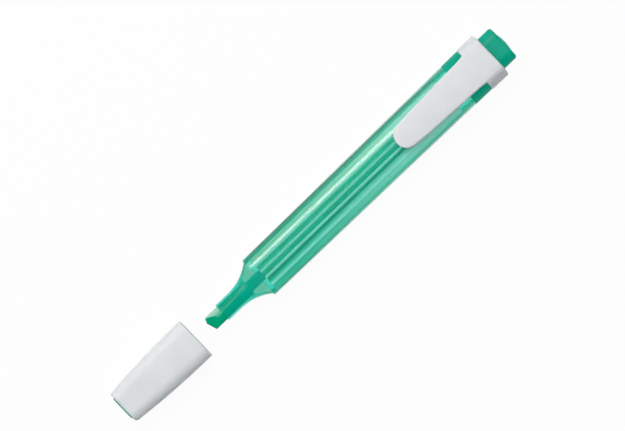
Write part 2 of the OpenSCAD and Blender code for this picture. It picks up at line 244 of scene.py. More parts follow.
outside = soft_edge(barrel_low.x, nose_r, nose_r, nose_r, nose_edge, 1)
outside += [round_ring(flare_start_x - flare_step, nose_r)]
outside += [flare_ring(step / flare_sections) for step in range(flare_sections + 1)]
outside += soft_edge(shoulder_x, *body_size(shoulder_x), barrel_edge, 1)
outside += soft_edge(barrel_rear_x, *body_size(barrel_rear_x), rear_edge, -1)[::-1]
outside += [ring(barrel_rear_x, neck_hw, neck_hd, neck_corner),
            ring(barrel_high.x, neck_hw, neck_hd, neck_corner)]
print(f"barrel outside: {len(outside)} rings")

# %% Inside of the barrel
chamber_hw, chamber_hd, chamber_corner = 5.65 * MM, 4.65 * MM, 2.4 * MM
chamber_front_x = shoulder_x + 1.6 * MM
flare_wall = 1.0 * MM
flare_solid = 0.55
hollow_sections = 10
nib_bore_r = 2.38 * MM

inside = [ring(x, chamber_hw, chamber_hd, chamber_corner) for x in (barrel_high.x, chamber_front_x)]
inside += [ring(chamber_front_x,
                flare_hw - flare_wall, flare_hd - flare_wall, flare_corner - flare_wall)]
inside += [flare_ring(1 - (1 - flare_solid) * step / hollow_sections, flare_wall)
           for step in range(hollow_sections + 1)]
inside += [round_ring(flare_start_x + flare_solid * (shoulder_x - flare_start_x), nib_bore_r),
           round_ring(barrel_low.x, nib_bore_r)]

barrel_skin = skin("barrel_skin", outside + inside, hollow=True)
print(f"barrel inside: {len(inside)} rings")

# %% [markdown]
# ### Ribs inside the barrel
# The ribs belong to the same moulding. They could be teeth in the inside rings, but clear teeth
# behind a clear wall can hardly be told from the core. On the real pen they scatter light and
# look frosted, so here they are thin bars rooted in the wall, with a finish of their own. Each
# bar is a cube that is stretched, pushed out to the wall and turned round the pen's axis.
#
# Their angles are even on a circle that is then squeezed to the shape of the chamber. This crowds
# them a little towards the two edges of the body. Thin clear plastic throws no shadow that could
# be seen, so the bars cast none.

# %% Ribs in the barrel
rib_count = 16
rib_turn = math.radians(14.7)
rib_wide, rib_root = 0.6 * MM, 0.1 * MM
rib_inner_r = 4.3 * MM
rib_long = core_high.x - chamber_front_x

bm = bmesh.new()
for count in range(rib_count):
    step = rib_turn + 2 * math.pi * count / rib_count
    angle = math.atan2(chamber_hd * math.sin(step), chamber_hw * math.cos(step))
    wall_r = reach(angle, chamber_hw, chamber_hd, chamber_corner) + rib_root
    bmesh.ops.create_cube(bm, size=1, matrix=(
        Matrix.Translation((chamber_front_x + rib_long / 2, 0, axis_z))
        @ Matrix.Rotation(angle, 4, "X")
        @ Matrix.Translation((0, (wall_r + rib_inner_r) / 2, 0))
        @ Matrix.Diagonal((rib_long, wall_r - rib_inner_r, rib_wide, 1))))
barrel_ribs = add_piece("barrel_ribs", bm)
barrel_ribs.visible_shadow = False
print(f"{rib_count} ribs, {rib_long / MM:.1f} mm long")

# %% [markdown]
# ## Finishes from nodes
# A finish here is a Principled shader with a little noise behind its colour, roughness and bump,
# at the scale that the real surface shows: a moulded plastic is never quite even, and its gloss
# breaks up where it has been handled. The noise lives in object space, in metres, so a grain of
# 0.4 mm is 0.4 mm on every piece, and no UV map is needed.
#
# The ink, and the plastic that is coloured to match it, hold a fluorescent dye. These finishes
# also get a glow in their own colour, which is painted light that lifts their shaded sides.
# Numbers that are the same all over a surface are set straight on the shader's own sockets.

# %% Helpers for colours and noise
def new_finish(name):
    """An empty finish: its material, its node tree and its shader."""
    material = bpy.data.materials.new(name)
    material.use_nodes = True
    tree = material.node_tree
    return material, tree, tree.nodes["Principled BSDF"]


def from_srgb(red, green, blue):
    """A colour as a picture shows it, 0 to 255, turned into the linear values of a shader."""
    def linear(value):
        share = value / 255
        return share / 12.92 if share <= 0.04045 else ((share + 0.055) / 1.055) ** 2.4
    return linear(red), linear(green), linear(blue), 1.0


def grain(tree, size, detail=2.0, stretch=(1, 1, 1)):
    """Noise with grains of one size in metres, drawn out along X, Y or Z by `stretch`."""
    place = tree.nodes.new("ShaderNodeTexCoord")
    mapping = tree.nodes.new("ShaderNodeMapping")
    noise = tree.nodes.new("ShaderNodeTexNoise")
    mapping.inputs["Scale"].default_value = [1 / (size * s) for s in stretch]
    noise.inputs["Scale"].default_value = 1.0
    noise.inputs["Detail"].default_value = detail
    tree.links.new(place.outputs["Object"], mapping.inputs["Vector"])
    tree.links.new(mapping.outputs["Vector"], noise.inputs["Vector"])
    return noise.outputs["Fac"]


def between(tree, share, low, high, start=0.3, end=0.7):
    """Turns a share of 0 to 1 into a number between two limits."""
    node = tree.nodes.new("ShaderNodeMapRange")
    node.inputs["From Min"].default_value, node.inputs["From Max"].default_value = start, end
    node.inputs["To Min"].default_value, node.inputs["To Max"].default_value = low, high
    tree.links.new(share, node.inputs["Value"])
    return node.outputs["Result"]


def tints(tree, share, *stops):
    """A colour ramp over a share of 0 to 1. Each stop is a place and a colour."""
    ramp = tree.nodes.new("ShaderNodeValToRGB")
    elements = ramp.color_ramp.elements
    while len(elements) < len(stops):
        elements.new(0.5)
    for element, (place, colour) in zip(elements, stops):
        element.position, element.color = place, colour
    tree.links.new(share, ramp.inputs["Fac"])
    return ramp.outputs["Color"]


def mixed(tree, share, first, second):
    """One colour where the share is 0 and another where it is 1."""
    node = tree.nodes.new("ShaderNodeMix")
    node.data_type = "RGBA"
    tree.links.new(share, node.inputs["Factor"])
    tree.links.new(first, node.inputs["A"])
    tree.links.new(second, node.inputs["B"])
    return node.outputs["Result"]


print("helpers for colours and noise are ready")


# %% Helpers for places, bumps and dressing
def place_on_pen(tree, scale, offset=(0, 0, 0)):
    """A point of the surface, with each of its three measures scaled and shifted."""
    place = tree.nodes.new("ShaderNodeTexCoord")
    mapping = tree.nodes.new("ShaderNodeMapping")
    mapping.inputs["Scale"].default_value = scale
    mapping.inputs["Location"].default_value = offset
    tree.links.new(place.outputs["Object"], mapping.inputs["Vector"])
    return mapping.outputs["Vector"]


def along(tree, axis, start, end):
    """0 before one place along X, Y or Z and 1 after another."""
    parts = tree.nodes.new("ShaderNodeSeparateXYZ")
    tree.links.new(place_on_pen(tree, (1, 1, 1)), parts.inputs["Vector"])
    return between(tree, parts.outputs[axis], 0, 1, start, end)


def roughen(tree, shader, height, depth):
    """Small bumps of a real depth in metres."""
    bump = tree.nodes.new("ShaderNodeBump")
    bump.inputs["Strength"].default_value = 1.0
    bump.inputs["Distance"].default_value = depth
    tree.links.new(height, bump.inputs["Height"])
    tree.links.new(bump.outputs["Normal"], shader.inputs["Normal"])


def dress(piece, finish, body, slot, *solids):
    """Gives a piece its finish and its body, and hides the solids that it stands for. `slot` is not
    used.
    """
    piece.data.materials.clear()
    piece.data.materials.append(finish)
    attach(piece, body)
    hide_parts(*solids)
    print(f"{piece.name}: {len(piece.data.polygons)} faces, {finish.name}, on {body}")


print("helpers for places, bumps and dressing are ready")

# %% [markdown]
# ## Clear green plastic
# The barrel is tinted all through, so its edges and thick places look deeper than its thin wall.
# A volume that absorbs mostly red does this, under a lighter tint on the surface. The real
# plastic has a refractive index of about 1.5, but so much bending, in a wall this close to the
# core, breaks the view up into noise. An index of 1.1 keeps the core in its place and still
# darkens the outline.
#
# The tint differs a little between the nose, the flare and the body, as the thickness behind it
# does, and it drifts along the length, as melted plastic flows into a mould. The long soft
# highlight is left to a coat, which fades out over the flare, and long shallow waves in the
# surface keep the highlight from being a perfect line.

# %% The barrel's finish
clear_index = 1.1
nose_coat, body_coat = 0.05, 1.0

clear_green, tree, shader = new_finish("clear_green_plastic")
flow = grain(tree, 6 * MM, 3.0, stretch=(4, 1, 1))
thick = tints(tree, flow, (0.25, from_srgb(196, 239, 230)), (0.75, from_srgb(205, 242, 234)))
thin = tints(tree, flow, (0.25, from_srgb(228, 248, 243)), (0.75, from_srgb(236, 251, 248)))
on_body = along(tree, "X", shoulder_x - 1 * MM, shoulder_x + 1 * MM)
behind_core = along(tree, "X", core_high.x - 0.3 * MM, core_high.x + 0.1 * MM)
body_tint = mixed(tree, behind_core, thin, thick)
flare_tint = tints(tree, flow, (0.25, from_srgb(220, 228, 214)), (0.75, from_srgb(227, 233, 220)))
on_flare = along(tree, "X", flare_start_x + 2 * MM, shoulder_x)
front_tint = mixed(tree, on_flare, thick, flare_tint)
tree.links.new(mixed(tree, on_body, front_tint, body_tint), shader.inputs["Base Color"])
tree.links.new(between(tree, grain(tree, 1.5 * MM), 0.01, 0.03), shader.inputs["Roughness"])
shader.inputs["IOR"].default_value = clear_index
roughen(tree, shader, grain(tree, 3 * MM, 1.0, stretch=(12, 1, 1)), 0.0002 * MM)
shader.inputs["Transmission Weight"].default_value = 1.0
coat = between(tree, on_flare, nose_coat, body_coat, 0, 1)
tree.links.new(coat, shader.inputs["Coat Weight"])
shader.inputs["Coat IOR"].default_value = 1.35
shader.inputs["Coat Roughness"].default_value = 0.18
shader.inputs["Specular IOR Level"].default_value = 0.0
print(f"{clear_green.name}: refractive index {clear_index}")


# %% Light through the barrel's wall
def let_light_in(tree, shader, tint):
    """Lets lamps shine straight through a clear wall, tinted, so that what is inside is lit."""
    path = tree.nodes.new("ShaderNodeLightPath")
    straight = tree.nodes.new("ShaderNodeBsdfTransparent")
    straight.inputs["Color"].default_value = tint
    choice = tree.nodes.new("ShaderNodeMixShader")
    tree.links.new(path.outputs["Is Shadow Ray"], choice.inputs["Fac"])
    tree.links.new(shader.outputs["BSDF"], choice.inputs[1])
    tree.links.new(straight.outputs["BSDF"], choice.inputs[2])
    tree.links.new(choice.outputs["Shader"], tree.nodes["Material Output"].inputs["Surface"])


let_light_in(tree, shader, from_srgb(244, 252, 250))
absorption = tree.nodes.new("ShaderNodeVolumeAbsorption")
absorption.inputs["Color"].default_value = (0.06, 0.86, 0.79, 1)
absorption.inputs["Density"].default_value = 730
tree.links.new(absorption.outputs["Volume"], tree.nodes["Material Output"].inputs["Volume"])
dress(barrel_skin, clear_green, "pen", "translucent_green", "barrel")

# %% [markdown]
# ### Frosted ribs
# The ribs are lit through the wall. Those close under the upper wall are painted nearly white, a
# painted highlight for the light from above, and those at the sides take the green of the ink
# behind them. The body widens towards the rear and leaves more clear plastic beside the core, and
# the ribs are made paler there.
#
# All the ribs get a painted glow in their own colour, stronger at the far edge, on the side away
# from the soft box. It stands in for light that enters the dyed plastic on the lit side, runs on
# inside it and comes out at that edge.

# %% The ribs' finish
rib_painted_glow, far_edge_painted_glow = 0.2, 0.45

frosted, tree, shader = new_finish("frosted_rib")
flow = grain(tree, 3 * MM, 3.0, stretch=(8, 1, 1))
deep = tints(tree, flow, (0.3, from_srgb(102, 196, 176)), (0.7, from_srgb(112, 202, 183)))
white = tints(tree, flow, (0.3, from_srgb(232, 248, 243)), (0.7, from_srgb(244, 252, 249)))
# The ribs' tops near the upper wall are painted white: a painted highlight.
painted_highlight_share = along(tree, "Z", axis_z + 3.9 * MM, axis_z + 4.6 * MM)
pale = tints(tree, flow, (0.3, from_srgb(210, 220, 211)), (0.7, from_srgb(220, 226, 217)))
paling = along(tree, "X", shoulder_x + 12 * MM, shoulder_x + 60 * MM)
rib_tint = mixed(tree, painted_highlight_share, mixed(tree, paling, deep, pale), white)
tree.links.new(rib_tint, shader.inputs["Base Color"])
# Painted glow, stronger on the -Y side, away from the soft box.
far_edge = along(tree, "Y", -4.0 * MM, -5.2 * MM)
glow = between(tree, far_edge, rib_painted_glow, far_edge_painted_glow, 0, 1)
tree.links.new(rib_tint, shader.inputs["Emission Color"])
tree.links.new(glow, shader.inputs["Emission Strength"])
tree.links.new(between(tree, flow, 0.4, 0.55), shader.inputs["Roughness"])
roughen(tree, shader, grain(tree, 0.4 * MM, stretch=(6, 1, 1)), 0.002 * MM)
shader.inputs["Specular IOR Level"].default_value = 0.0
dress(barrel_ribs, frosted, "pen", "translucent_green", "barrel")

# %% [markdown]
# ## The nib
# The nib is a rod of pressed fibres, cut to a chisel: two slopes make the wedge, a slanted cut
# makes the writing edge, and its leading corner is taken off. Its thinner tail runs back into the
# ink core.
#
# A chisel could be built face by face, but cutting is how the real one is made. So the rod is a
# closed skin first, and each cut is one `bisect_plane` that throws away the outer side and fills
# the hole. A small bevel then dulls the fresh edges, since felt is never knife sharp.

# %% Cut the nib
nib_r = 2.35 * MM
tail_r = 1.65 * MM
tail_x = shoulder_x - 3.82 * MM
point_y = 0.8 * MM
edge_thick = 0.5 * MM
slant = math.radians(18)
back_slant = math.radians(24)
wedge = math.radians(33)
felt_edge = 0.12 * MM


def cut(bm, point, outward):
    """Saws a closed mesh along a plane and closes it again."""
    parts = bm.verts[:] + bm.edges[:] + bm.faces[:]
    sawn = bmesh.ops.bisect_plane(bm, geom=parts, plane_co=point, plane_no=outward,
                                  clear_outer=True)
    rim = [e for e in sawn["geom_cut"] if isinstance(e, bmesh.types.BMEdge)]
    bmesh.ops.edgeloop_fill(bm, edges=rim)


nib = skin("nib_felt", [round_ring(nib_low.x, nib_r), round_ring(tail_x, nib_r),
                        round_ring(tail_x, tail_r), round_ring(nib_high.x, tail_r)])
bm = bmesh.new()
bm.from_mesh(nib.data)
tip = Vector((nib_low.x, point_y, axis_z))
back = Vector((math.cos(slant), math.sin(slant), 0))
for side in (1, -1):
    slope = Vector((-math.sin(wedge) * back.x, -math.sin(wedge) * back.y, side * math.cos(wedge)))
    cut(bm, tip + Vector((0, 0, side * edge_thick / 2)), slope)
cut(bm, tip, -back)
cut(bm, tip, Vector((-math.cos(back_slant), math.sin(back_slant), 0)))
fresh = [e for e in bm.edges
         if e.calc_face_angle(0) > CRISP_ANGLE and e.verts[0].co.x < barrel_low.x]
bmesh.ops.bevel(bm, geom=fresh, offset=felt_edge, segments=3, affect="EDGES", profile=0.5)
mark_crisp_edges(bm)
bm.to_mesh(nib.data)
bm.free()
print(f"nib: {len(fresh)} cut edges dulled")

# %% [markdown]
# ## Felt, fibre, film and seal
# Felt is matt and soaked in ink. The cut slopes, where the fibres end, look deep green. The
# pressed side of the rod gets a painted highlight, a paler green on the half that lies to the
# light.
# The distance from the pen's axis tells one from the other: on the rod's side it is the full
# radius, and on a cut it is less. Inside the barrel the felt is painted lighter, and lighter again
# towards its tail, for light that the clear wall holds back. Fine noise drawn out along X gives the
# fibres.
#
# The core, its thin wrap and the cap's inner seal are seen only through or inside other pieces.
# Their solids have the right shape, so they stay, and only get finishes of their own.

# %% Helpers for ink
# The ink's glow is painted light that lifts its shaded side.
ink_painted_glow = 0.3


def paint_glow(tree, shader, colour, strength):
    """A painted glow in the surface's own colour, which lifts its shaded side."""
    tree.links.new(colour, shader.inputs["Emission Color"])
    shader.inputs["Emission Strength"].default_value = strength


def off_axis(tree, start, end):
    """0 nearer to the pen's axis than one distance and 1 beyond another."""
    length = tree.nodes.new("ShaderNodeVectorMath")
    length.operation = "LENGTH"
    tree.links.new(place_on_pen(tree, (0, 1, 1), (0, 0, -axis_z)), length.inputs[0])
    return between(tree, length.outputs["Value"], 0, 1, start, end)


print(f"ink glows with a strength of {ink_painted_glow}")

# %% Felt for the nib
felt, tree, shader = new_finish("inked_felt")
fibres = grain(tree, 0.25 * MM, 4.0, stretch=(10, 1, 1))
cut_ends = tints(tree, fibres, (0.3, from_srgb(0, 146, 104)), (0.7, from_srgb(4, 160, 118)))
# A painted highlight: paler green on the half of the rod towards the soft box.
painted_highlight_skin = tints(tree, fibres, (0.3, from_srgb(142, 192, 172)), (0.7, from_srgb(168, 204, 188)))
# Painted lighter inside the barrel, and lighter again towards the tail.
soaked_lightened = tints(tree, fibres, (0.3, from_srgb(0, 168, 150)), (0.7, from_srgb(2, 176, 158)))
soaked_root_lightened = tints(tree, fibres, (0.3, from_srgb(0, 188, 180)), (0.7, from_srgb(2, 196, 188)))
rod_side_highlit = mixed(tree, along(tree, "Y", -0.3 * MM, 2.2 * MM), cut_ends, painted_highlight_skin)
on_rod = off_axis(tree, nib_r - 0.14 * MM, nib_r - 0.04 * MM)
bare = mixed(tree, on_rod, cut_ends, rod_side_highlit)
inside = mixed(tree, along(tree, "X", flare_start_x, tail_x), soaked_lightened, soaked_root_lightened)
ink = mixed(tree, along(tree, "X", barrel_low.x, barrel_low.x + 0.4 * MM), bare, inside)
tree.links.new(ink, shader.inputs["Base Color"])
tree.links.new(between(tree, grain(tree, 0.4 * MM), 0.75, 0.95), shader.inputs["Roughness"])
roughen(tree, shader, fibres, 0.02 * MM)
shader.inputs["Specular IOR Level"].default_value = 0.0
paint_glow(tree, shader, ink, ink_painted_glow)
dress(nib, felt, "pen", "nib_felt", "nib")

# %% Fibre for the ink core
fibre, tree, shader = new_finish("inked_fibre")
strands = grain(tree, 0.35 * MM, 4.0, stretch=(30, 1, 1))
ink = tints(tree, strands, (0.25, from_srgb(2, 151, 136)), (0.75, from_srgb(4, 157, 142)))
tree.links.new(ink, shader.inputs["Base Color"])
tree.links.new(between(tree, strands, 0.7, 0.9), shader.inputs["Roughness"])
roughen(tree, shader, strands, 0.002 * MM)
shader.inputs["Specular IOR Level"].default_value = 0.0
paint_glow(tree, shader, ink, ink_painted_glow)


def finish_solid(node, finish):
    """Gives a CAD node that stays in view its finish."""
    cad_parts[node].data.materials.clear()
    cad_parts[node].data.materials.append(finish)
    print(f"{node} keeps its solid, in {finish.name}")


finish_solid("ink_reservoir", fibre)

# %% Film for the wrap
film, tree, shader = new_finish("wrap_film")
crinkle = grain(tree, 2.5 * MM, 3.0, stretch=(3, 1, 1))
film_tint = tints(tree, crinkle, (0.3, from_srgb(40, 196, 168)), (0.7, from_srgb(62, 208, 182)))
tree.links.new(film_tint, shader.inputs["Base Color"])
tree.links.new(between(tree, crinkle, 0.28, 0.36), shader.inputs["Roughness"])
roughen(tree, shader, crinkle, 0.0015 * MM)
shader.inputs["Alpha"].default_value = 0.3
finish_solid("reservoir_wrap", film)

# %% Soft plastic for the seal
seal, tree, shader = new_finish("seal_plastic")
haze = grain(tree, 1.2 * MM, 3.0)
seal_grey = tints(tree, haze, (0.3, from_srgb(205, 209, 208)), (0.7, from_srgb(218, 221, 220)))
tree.links.new(seal_grey, shader.inputs["Base Color"])
tree.links.new(between(tree, haze, 0.45, 0.6), shader.inputs["Roughness"])
roughen(tree, shader, grain(tree, 0.3 * MM), 0.004 * MM)
finish_solid("cap_inner_seal", seal)

# %% [markdown]
# ## The end plug
# A solid green moulding closes the rear of the barrel. From front to back it is a post that keeps
# the ink core forward, a skirt over the barrel's neck, a band that continues the body, a narrower
# stem that the clip's collar is pushed on, and an end block with a shallow dome.
#
# It could be put together from several primitives, but the real one comes out of a single mould.
# One list of rings goes in at the post, round the socket, out over the band and up the stem, and
# ends on top of the dome.

# %% Skin of the end plug
post_r = 2.0 * MM
post_edge = 0.25 * MM
plug_gap = 0.05 * MM
floor_x = barrel_high.x + plug_gap
band_edge = 0.15 * MM
stem_hw, stem_hd, stem_corner = 5.7 * MM, 4.15 * MM, 3.0 * MM
block_round = 0.7 * MM
dome_high = 0.5 * MM
dome_half = 3.4 * MM
dome_sections = 7
block_rear_x = plug_high.x - dome_high
dome_r = (dome_half ** 2 + dome_high ** 2) / (2 * dome_high)
dome_span = math.asin(dome_half / dome_r)

plug_rings = soft_edge(plug_low.x, post_r, post_r, post_r, post_edge, 1)
plug_rings += [round_ring(floor_x, post_r)]
plug_rings += [ring(x, neck_hw + plug_gap, neck_hd + plug_gap, neck_corner + plug_gap)
               for x in (floor_x, barrel_rear_x)]
plug_rings += soft_edge(barrel_rear_x, *body_size(barrel_rear_x), band_edge, 1)
plug_rings += soft_edge(collar_low.x, *body_size(collar_low.x), band_edge, -1)[::-1]
plug_rings += [ring(collar_low.x, stem_hw, stem_hd, stem_corner)]
plug_rings += soft_edge(block_rear_x, stem_hw, stem_hd, stem_corner, block_round, -1, steps=6)[::-1]
# The last ring stops half a step short of the middle, and the skin closes what is left.
for step in range(dome_sections):
    turn = dome_span * (1 - step / (dome_sections - 0.5))
    drop = dome_r * (1 - math.cos(turn))
    plug_rings.append(round_ring(plug_high.x - drop, dome_r * math.sin(turn)))
plug = skin("end_plug_skin", plug_rings)
print(f"end plug: {len(plug_rings)} rings, dome radius {dome_r / MM:.1f} mm")

# %% [markdown]
# ## Solid green plastic
# The plug and the small plate in the cap are the same opaque green as the ink. Opaque plastic
# still lets a little light in, so a trace of subsurface scattering softens its shadows. A strong
# glow, painted light that is more than its dye would give, keeps the shaded side bright. A satin
# roughness that varies in patches keeps its highlights broad, as in the photograph.

# %% The solid green finish
# The plug's strong glow is painted light that keeps its shaded side bright.
plug_painted_glow = 0.65

solid_green, tree, shader = new_finish("solid_green_plastic")
clouds = grain(tree, 5 * MM, 3.0)
green = tints(tree, clouds, (0.3, from_srgb(0, 126, 102)), (0.7, from_srgb(2, 134, 110)))
tree.links.new(green, shader.inputs["Base Color"])
tree.links.new(between(tree, grain(tree, 0.8 * MM, 3.0), 0.34, 0.46), shader.inputs["Roughness"])
paint_glow(tree, shader, green, plug_painted_glow)
roughen(tree, shader, grain(tree, 0.25 * MM), 0.003 * MM)
shader.inputs["IOR"].default_value = 1.5
shader.inputs["Specular IOR Level"].default_value = 0.05
shader.inputs["Subsurface Weight"].default_value = 0.05
shader.inputs["Subsurface Radius"].default_value = (0.3 * MM, 0.8 * MM, 0.6 * MM)
shader.inputs["Subsurface Scale"].default_value = 1.0
dress(plug, solid_green, "pen", "solid_green", "end_plug")

# %% [markdown]
# ## The clip and its collar
# On the real pen the clip and the ring that carries it are one off-white moulding, and the clip
# bends at its root. The CAD model splits them so that MuJoCo can hinge the clip.
#
# The clip is a thin plate with a crowned top, so its sections are set out along the outline
# instead of by angle, which would starve the flat sides of points.

# %% Sections of the clip
clip_thick = 1.6 * MM
clip_edge = 0.5 * MM
clip_slope = math.radians(1)
crown_r = 45 * MM
tip_half, shank_half, root_half = 3.85 * MM, 4.9 * MM, 5.25 * MM
clip_swell = 0.75
root_len = 5.0 * MM
grip_deep = 0.4 * MM
grip_half = 1.1 * MM
tip_least = 0.05 * MM
root_in, root_sink = 2.0 * MM, 0.05 * MM
clip_axis_x = collar_low.x + 1.04 * MM
clip_axis_z = collar_high.z - clip_thick / 2
tip_centre_x = clip_low.x + tip_half
shank_x = clip_axis_x - root_len


def crown_sink(y):
    """How far the crowned top lies below its highest line."""
    return crown_r - math.sqrt(crown_r ** 2 - y ** 2)


def clip_half(x):
    """Half the clip's width: a round tip, sides that swell behind it and a root that widens."""
    if x < tip_centre_x:
        return math.sqrt(max(tip_half ** 2 - (tip_centre_x - x) ** 2, tip_least ** 2))
    if x < shank_x:
        share = (x - tip_centre_x) / (shank_x - tip_centre_x)
        return tip_half + (shank_half - tip_half) * share ** clip_swell
    share = min((x - shank_x) / (collar_low.x - shank_x), 1)
    return shank_half + (root_half - shank_half) * share ** 2


def clip_ring(x):
    """A section of the clip, with round edges, a crowned top and a ridge that grips a pocket."""
    half = clip_half(x)
    tip_gone = max(clip_edge - (x - clip_low.x), 0) / clip_edge
    thick = clip_thick - 2 * clip_edge * (1 - math.sqrt(1 - tip_gone ** 2))
    edge = min(clip_edge, 0.9 * half, 0.49 * thick)
    middle_z = clip_axis_z + min(x - clip_axis_x, 0) * math.tan(clip_slope)
    ridge = grip_deep * max(1 - ((x - tip_centre_x) / grip_half) ** 2, 0)
    outline = []
    for quarter in range(4):
        side_y = 1 if quarter in (0, 3) else -1
        side_z = 1 if quarter < 2 else -1
        for step in range(5):
            turn = math.pi / 2 * (quarter + step / 4)
            outline.append((side_y * (half - edge) + edge * math.cos(turn),
                            side_z * (thick / 2 - edge) + edge * math.sin(turn)))
        if quarter in (0, 2):
            for step in range(1, 16):
                outline.append((side_y * (half - edge) * (1 - step / 8), side_z * thick / 2))
    points = []
    for y, z in outline:
        drop = crown_sink(y) if z > 0 else ridge * max(1 - (y / tip_half) ** 4, 0)
        points.append(Vector((x, y, middle_z + z - drop)))
    return points


tip_steps = [clip_low.x + tip_half * (1 - math.cos(math.pi / 2 * step / 14)) for step in range(15)]
shank_steps = [tip_centre_x + (shank_x - tip_centre_x) * step / 24 for step in range(1, 25)]
root_steps = [shank_x + (collar_low.x - shank_x) * step / 10 for step in range(1, 11)]
clip_rings = [clip_ring(x) for x in tip_steps + shank_steps + root_steps]
clip_rings += [[point - Vector((0, 0, root_sink)) for point in clip_ring(collar_low.x + root_in)]]
clip_plate = skin("clip_plate", clip_rings)
print(f"clip: {(collar_low.x - clip_low.x) / MM:.1f} mm long in front of the collar")

# %% Sections of the collar
collar_hw = collar_high.y
collar_edge = 0.5 * MM
pad_half = 5.6 * MM
pad_corner = 1.4 * MM
pad_high = collar_high.z - axis_z
stem_gap = 0.05 * MM


def collar_side():
    """Half of the collar's outline: from its back, up a side that bows in, to the raised pad."""
    corner = body_size(collar_low.x)[2]
    flat = collar_hw - corner
    points = [(flat * step / 6, -body_hd) for step in range(6)]
    for step in range(13):
        turn = math.pi / 2 * step / 12
        points.append((flat + corner * math.sin(turn), corner * (1 - math.cos(turn)) - body_hd))
    pad_edge_z = pad_high - crown_sink(pad_half)
    for step in range(15):
        share = step / 14 * (1 - pad_corner / pad_edge_z)
        points.append((pad_half + (collar_hw - pad_half) * (1 - share ** 2), pad_edge_z * share))
    start, end_y = Vector(points[-1]), pad_half - pad_corner
    top, end = Vector((pad_half, pad_edge_z)), Vector((end_y, pad_high - crown_sink(end_y)))
    for step in range(1, 7):
        share = step / 6
        points.append(tuple(start.lerp(top, share).lerp(top.lerp(end, share), share)))
    for step in range(1, 9):
        y = end_y * (1 - step / 8)
        points.append((y, pad_high - crown_sink(y)))
    return points


one_side = collar_side()
collar_outline = one_side + [(-y, z) for y, z in one_side[-2:0:-1]]


def collar_ring(x, inset=0.0):
    """The collar's outline at x, drawn in all round by `inset`."""
    points = []
    for j, (y, z) in enumerate(collar_outline):
        ahead = Vector(collar_outline[(j + 1) % len(collar_outline)])
        heading = (ahead - Vector(collar_outline[j - 1])).normalized()
        points.append(Vector((x, y - inset * heading.y, axis_z + z + inset * heading.x)))
    return points


def stem_hole(x):
    """The hole for the plug's stem, with one point for each point of the outline."""
    points = []
    for y, z in collar_outline:
        angle = math.atan2(z, y)
        r = reach(angle, stem_hw + stem_gap, stem_hd + stem_gap, stem_corner + stem_gap)
        points.append(Vector((x, r * math.cos(angle), axis_z + r * math.sin(angle))))
    return points


def collar_soft_edge(x, into):
    """Rings round a moulded edge of the collar, from the end face at x to the side."""
    turns = [math.pi / 2 * step / 4 for step in range(5)]
    return [collar_ring(x + into * collar_edge * (1 - math.cos(turn)),
                        collar_edge * (1 - math.sin(turn))) for turn in turns]


collar_rings = collar_soft_edge(collar_low.x, 1) + collar_soft_edge(collar_high.x, -1)[::-1]
collar_rings += [stem_hole(collar_high.x), stem_hole(collar_low.x)]
collar = skin("collar", collar_rings, hollow=True)
print(f"collar outline: {len(collar_outline)} points")

# %% Fuse the two
weld = 0.001 * MM

union = collar.modifiers.new("fuse", "BOOLEAN")
union.operation, union.solver, union.object = "UNION", "EXACT", clip_plate
fused = bpy.data.meshes.new_from_object(collar.evaluated_get(bpy.context.evaluated_depsgraph_get()))
for spent in (collar, clip_plate):
    bpy.data.objects.remove(spent)
bm = bmesh.new()
bm.from_mesh(fused)
bmesh.ops.remove_doubles(bm, verts=bm.verts, dist=weld)
clip_moulding = add_piece("clip_moulding", bm)
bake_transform(clip_moulding)
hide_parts("clip_collar", "pocket_clip")

# %% [markdown]
# ## Off-white plastic
# The clip and the cap share an off-white with a trace of blue and a satin skin, from a mould that
# was lightly spark eroded. Its colour is almost even, so what makes it look real is in the gloss:
# patches that differ by a few hundredths, and a grain too fine to see one by one.

# %% The off-white finish
off_white, tree, shader = new_finish("off_white_plastic")
clouds = grain(tree, 7 * MM, 3.0)
shell_white = tints(tree, clouds, (0.3, from_srgb(222, 226, 229)), (0.7, from_srgb(228, 231, 233)))
tree.links.new(shell_white, shader.inputs["Base Color"])
tree.links.new(between(tree, grain(tree, 1.0 * MM, 3.0), 0.5, 0.6), shader.inputs["Roughness"])
shader.inputs["Specular IOR Level"].default_value = 0.12
roughen(tree, shader, grain(tree, 0.22 * MM, 3.0), 0.004 * MM)
shader.inputs["IOR"].default_value = 1.5
shader.inputs["Subsurface Weight"].default_value = 0.08
shader.inputs["Subsurface Radius"].default_value = (0.9 * MM, 0.9 * MM, 1.0 * MM)
shader.inputs["Subsurface Scale"].default_value = 1.0
clip_moulding.data.materials.clear()
clip_moulding.data.materials.append(off_white)
print("clip moulding in", off_white.name)

# %% [markdown]
# ## The cap
# The cap is an off-white shell, open at its mouth and drawn in towards its closed end, where a
# small green plate shows the colour of the ink. Pushed on, its mouth stops at the barrel's
# shoulder with the two outsides flush, so its first section is the body's own.
#
# The skin starts in the recess for the plate, comes out over the closed end, runs along the
# outside, turns in at the rim and goes back along the inside to the socket of the inner seal.

# %% Skin of the cap
cap_len = cap_high.x - cap_low.x
cap_end_hw, cap_end_hd = 5.4 * MM, 4.7 * MM
cap_taper = 2.2
cap_wall = 0.8 * MM
lip_wall, lip_len = 0.35 * MM, 2.0 * MM
cap_end_wall = 1.8 * MM
cap_round = 0.7 * MM
rim_edge = 0.15 * MM
insert_hw, insert_hd = insert_high.y, insert_high.z - axis_z
insert_corner = 2.2 * MM
insert_gap = 0.05 * MM
seal_r = 3.83 * MM
seal_sink = 0.4 * MM


def cap_size(x):
    """Half width, half depth and corner radius of the cap's outside at x."""
    loss = ((cap_high.x - x) / cap_len) ** cap_taper
    half_w = front_hw - (front_hw - cap_end_hw) * loss
    half_d = body_hd - (body_hd - cap_end_hd) * loss
    return half_w, half_d, body_corner * half_d / body_hd


